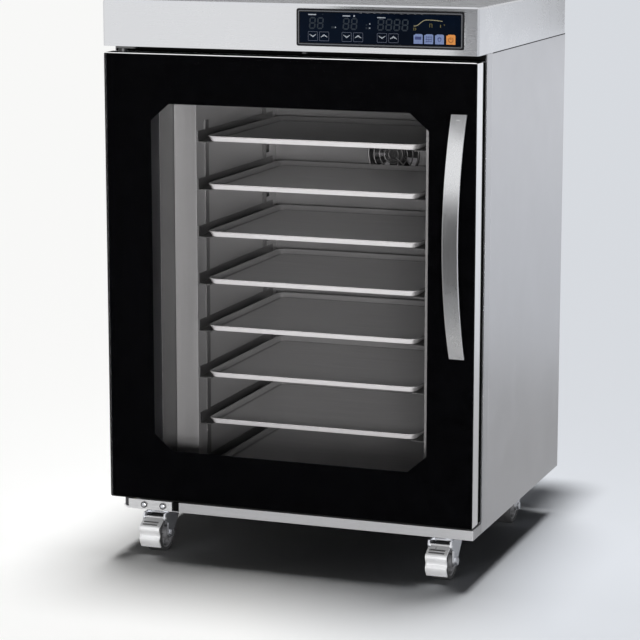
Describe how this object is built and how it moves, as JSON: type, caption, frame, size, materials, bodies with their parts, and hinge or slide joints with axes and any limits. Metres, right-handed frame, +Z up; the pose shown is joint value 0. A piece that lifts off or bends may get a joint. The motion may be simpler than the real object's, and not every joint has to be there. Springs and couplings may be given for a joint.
{
  "type": "proofing cabinet",
  "caption": "Undercounter dough proofing cabinet: stainless body on braked casters, glazed swing door with bowed handle, tray racks, rear fan and steam port, touch control header.",
  "frame": {"origin": "on the floor, under the middle of the bounding box", "axes": "+Z up, -Y towards the door and its handle, +X to the right of someone who faces the door"},
  "size_m": [0.6, 0.545, 0.88],
  "materials": {
    "stainless_skin": "fine brushed stainless sheet",
    "tray_metal": "plain pressed sheet",
    "wool": "mineral wool board",
    "steel": "zinc plated",
    "pedal_metal": "polished",
    "black_plastic": "moulded, fine grain",
    "black_rubber": "soft, matt",
    "wheel_rubber": "solid rubber tread on a plastic hub",
    "brass": "turned",
    "panel_glass": "dark gloss front",
    "circuit_board": "lacquered board",
    "door_aluminium": "satin anodised",
    "clear_glass": "clear tempered glass",
    "black_border": "black enamel behind the glass"
  },
  "bodies": {
    "cabinet": {"base_pan": "stainless_skin", "side_panel_left": "stainless_skin", "side_panel_right": "stainless_skin", "rear_panel": "stainless_skin", "front_frame": "stainless_skin", "cavity_liner": "stainless_skin", "insulation": "wool", "header_cover": "stainless_skin", "header_floor": "stainless_skin", "tray_1": "tray_metal", "tray_2": "tray_metal", "tray_3": "tray_metal", "tray_4": "tray_metal", "tray_5": "tray_metal", "tray_6": "tray_metal", "tray_7": "tray_metal", "tray_8": "tray_metal", "side_duct_left": "stainless_skin", "side_duct_right": "stainless_skin", "tray_rack_left": "stainless_skin", "tray_rack_right": "stainless_skin", "fan_guard": "steel", "fan_frame": "black_plastic", "air_heater": "steel", "steam_port": "black_rubber", "steam_tank": "stainless_skin", "tank_heater": "steel", "water_inlet": "brass", "control_bezel": "black_plastic", "control_glass": "panel_glass", "display_board": "circuit_board", "door_switch": "black_plastic", "power_inlet": "black_plastic", "hinge_plate_lower": "stainless_skin", "hinge_plate_upper": "stainless_skin", "caster_plate_front_left": "steel", "caster_plate_front_right": "steel", "caster_plate_rear_left": "steel", "caster_plate_rear_right": "steel"},
    "door": {"door_frame": "door_aluminium", "door_glass_outer": "clear_glass", "door_border": "black_border", "door_glass_inner": "clear_glass", "door_gasket": "black_rubber", "door_handle": "stainless_skin", "handle_screw_upper": "steel", "handle_screw_lower": "steel", "hinge_bush_lower": "black_plastic", "hinge_bush_upper": "black_plastic"},
    "fan_rotor": {"fan_impeller": "black_plastic"},
    "swivel_front_left": {"caster_fork_front_left": "steel"},
    "wheel_front_left": {"caster_wheel_front_left": "wheel_rubber"},
    "pedal_front_left": {"brake_pedal_front_left": "pedal_metal"},
    "swivel_front_right": {"caster_fork_front_right": "steel"},
    "wheel_front_right": {"caster_wheel_front_right": "wheel_rubber"},
    "pedal_front_right": {"brake_pedal_front_right": "pedal_metal"},
    "swivel_rear_left": {"caster_fork_rear_left": "steel"},
    "wheel_rear_left": {"caster_wheel_rear_left": "wheel_rubber"},
    "swivel_rear_right": {"caster_fork_rear_right": "steel"},
    "wheel_rear_right": {"caster_wheel_rear_right": "wheel_rubber"}
  },
  "joints": [
    {"name": "door_swing", "type": "hinge", "parent": "cabinet", "child": "door", "pos_m": [-0.272, -0.215, 0.097], "axis": [0, 0, -1], "range_deg": [0, 120]},
    {"name": "fan_spin", "type": "hinge", "parent": "cabinet", "child": "fan_rotor", "pos_m": [0.022, 0.2385, 0.604], "axis": [0, 1, 0], "continuous": true},
    {"name": "swivel_front_left", "type": "hinge", "parent": "cabinet", "child": "swivel_front_left", "pos_m": [-0.238, -0.1495, 0.066], "axis": [0, 0, 1], "continuous": true},
    {"name": "wheel_spin_front_left", "type": "hinge", "parent": "swivel_front_left", "child": "wheel_front_left", "pos_m": [-0.238, -0.1745, 0.03], "axis": [1, 0, 0], "continuous": true},
    {"name": "brake_front_left", "type": "hinge", "parent": "swivel_front_left", "child": "pedal_front_left", "pos_m": [-0.238, -0.19264, 0.05793], "axis": [1, 0, 0], "range_deg": [0, 8]},
    {"name": "swivel_front_right", "type": "hinge", "parent": "cabinet", "child": "swivel_front_right", "pos_m": [0.238, -0.1495, 0.066], "axis": [0, 0, 1], "continuous": true},
    {"name": "wheel_spin_front_right", "type": "hinge", "parent": "swivel_front_right", "child": "wheel_front_right", "pos_m": [0.238, -0.1745, 0.03], "axis": [1, 0, 0], "continuous": true},
    {"name": "brake_front_right", "type": "hinge", "parent": "swivel_front_right", "child": "pedal_front_right", "pos_m": [0.238, -0.19264, 0.05793], "axis": [1, 0, 0], "range_deg": [0, 8]},
    {"name": "swivel_rear_left", "type": "hinge", "parent": "cabinet", "child": "swivel_rear_left", "pos_m": [-0.238, 0.2025, 0.066], "axis": [0, 0, 1], "continuous": true},
    {"name": "wheel_spin_rear_left", "type": "hinge", "parent": "swivel_rear_left", "child": "wheel_rear_left", "pos_m": [-0.238, 0.1775, 0.03], "axis": [1, 0, 0], "continuous": true},
    {"name": "swivel_rear_right", "type": "hinge", "parent": "cabinet", "child": "swivel_rear_right", "pos_m": [0.238, 0.2025, 0.066], "axis": [0, 0, 1], "continuous": true},
    {"name": "wheel_spin_rear_right", "type": "hinge", "parent": "swivel_rear_right", "child": "wheel_rear_right", "pos_m": [0.238, 0.1775, 0.03], "axis": [1, 0, 0], "continuous": true}
  ]
}
